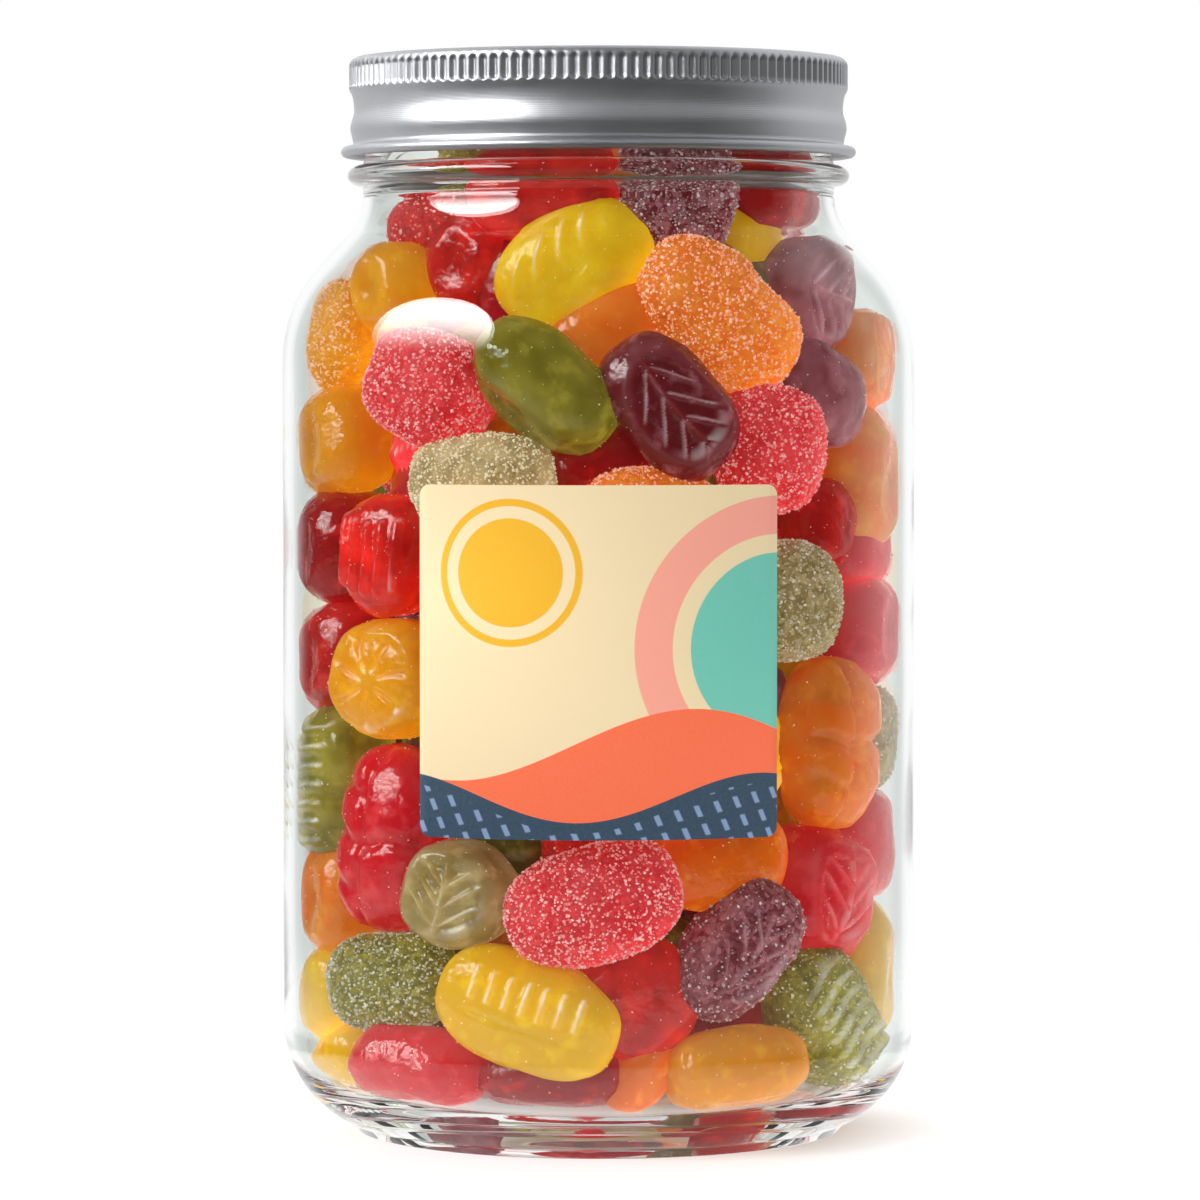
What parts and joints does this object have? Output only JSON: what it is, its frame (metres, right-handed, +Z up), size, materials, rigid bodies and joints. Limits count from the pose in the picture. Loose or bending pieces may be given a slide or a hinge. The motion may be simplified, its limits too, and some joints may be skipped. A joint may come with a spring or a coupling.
{
  "type": "jar of fruit gummies",
  "caption": "Tall clear glass jar with a wide neck, a fluted metal screw lid and a square paper label on its front, filled to the lid with mixed fruit gummies, some glossy and some sugared.",
  "frame": {"origin": "middle of the jar's foot ring, on the surface that the jar stands on", "axes": "+Z up along the jar's axis, the label's middle faces -Y, +X to the right seen from the label's side"},
  "size_m": [0.1, 0.1003, 0.1697],
  "materials": {
    "glass": "clear flint glass, smooth and glossy",
    "lid_metal": "satin, rolled and fluted sheet",
    "label_paper": "matt printed paper",
    "gummies": "soft fruit jelly, glossy or rolled in sugar",
    "lemon_gummy": "yellow fruit jelly, glossy",
    "orange_gummy": "orange fruit jelly, glossy or sugared",
    "red_gummy": "red fruit jelly, glossy or sugared",
    "green_gummy": "green fruit jelly, glossy or sugared",
    "purple_gummy": "dark purple fruit jelly, glossy or sugared",
    "sugar": "loose white sugar grains"
  },
  "bodies": {
    "root": {"jar": "glass", "lid": "lid_metal", "label": "label_paper", "gummies": "gummies"}
  },
  "joints": []
}
